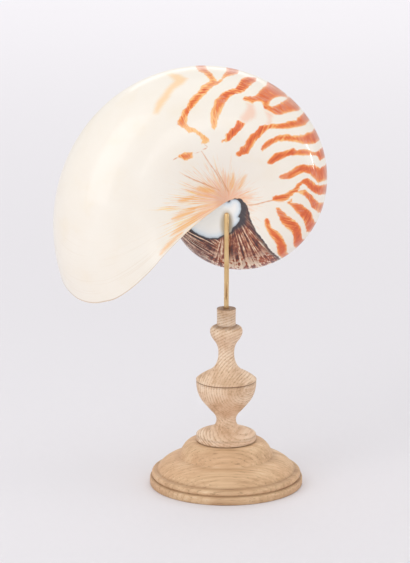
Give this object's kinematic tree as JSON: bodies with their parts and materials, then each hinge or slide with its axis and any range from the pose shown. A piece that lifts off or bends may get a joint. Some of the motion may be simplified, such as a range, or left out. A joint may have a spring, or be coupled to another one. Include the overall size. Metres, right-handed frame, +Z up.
{
  "type": "nautilus shell half",
  "caption": "Half of a striped nautilus shell, sawn to show its chambers, held in a forked brass rod on a turned pale wooden stand.",
  "frame": {"origin": "centre of the base's flat underside, on the turning axis of the stand", "axes": "+Z up along the stand's turning axis; +X to the right of someone who faces the shell's outside; +Y away from that viewer, square to the sawn face"},
  "size_m": [0.1699, 0.0958, 0.2642],
  "materials": {
    "nautilus_shell": "polished, cream with orange-brown flame stripes, pearly inside",
    "brass": "drawn rod, lightly toned",
    "oak_baluster": "turned, bleached and dry",
    "oak_base": "turned, bleached and dry"
  },
  "bodies": {
    "root": {"shell": "nautilus_shell", "brass_fork": "brass", "baluster": "oak_baluster", "base": "oak_base"}
  },
  "joints": []
}
